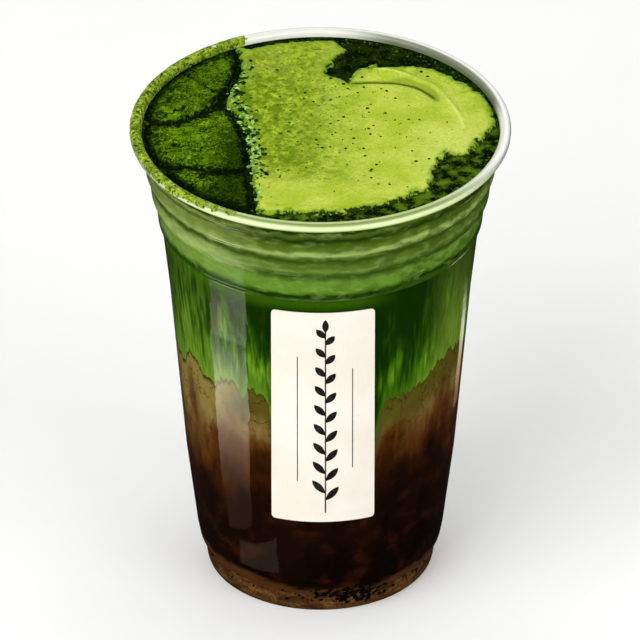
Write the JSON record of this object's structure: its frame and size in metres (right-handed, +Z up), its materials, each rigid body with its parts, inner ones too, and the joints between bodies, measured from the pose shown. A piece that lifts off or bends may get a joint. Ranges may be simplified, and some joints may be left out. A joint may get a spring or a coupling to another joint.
{
  "type": "matcha latte",
  "caption": "Takeaway matcha latte in a clear tapered plastic cup with a rolled rim, coffee under green matcha, foam and crust on top, blank label.",
  "frame": {"origin": "centre of the foot ring, on the surface that the cup stands on", "axes": "+Z up along the cup's axis; the label faces -Y, so +X is to the right as the label is seen"},
  "size_m": [0.098, 0.098, 0.13],
  "materials": {
    "clear_plastic": "clear thin plastic, smooth and glossy, slightly frosted in the stacking rings",
    "paper": "matt uncoated white paper",
    "dregs": "settled light brown coffee with dark grounds",
    "coffee": "dark brown liquid, milky and lighter towards its top",
    "matcha": "deep green liquid with darker streaks",
    "foam": "pale yellow-green foam with fine dark specks",
    "crust": "deep green powdery crust with dark creases"
  },
  "bodies": {
    "root": {"cup": "clear_plastic", "label": "paper", "dregs": "dregs", "coffee": "coffee", "matcha": "matcha", "foam": "foam", "crust_back": "crust", "crust_middle": "crust", "crust_front": "crust"}
  },
  "joints": []
}
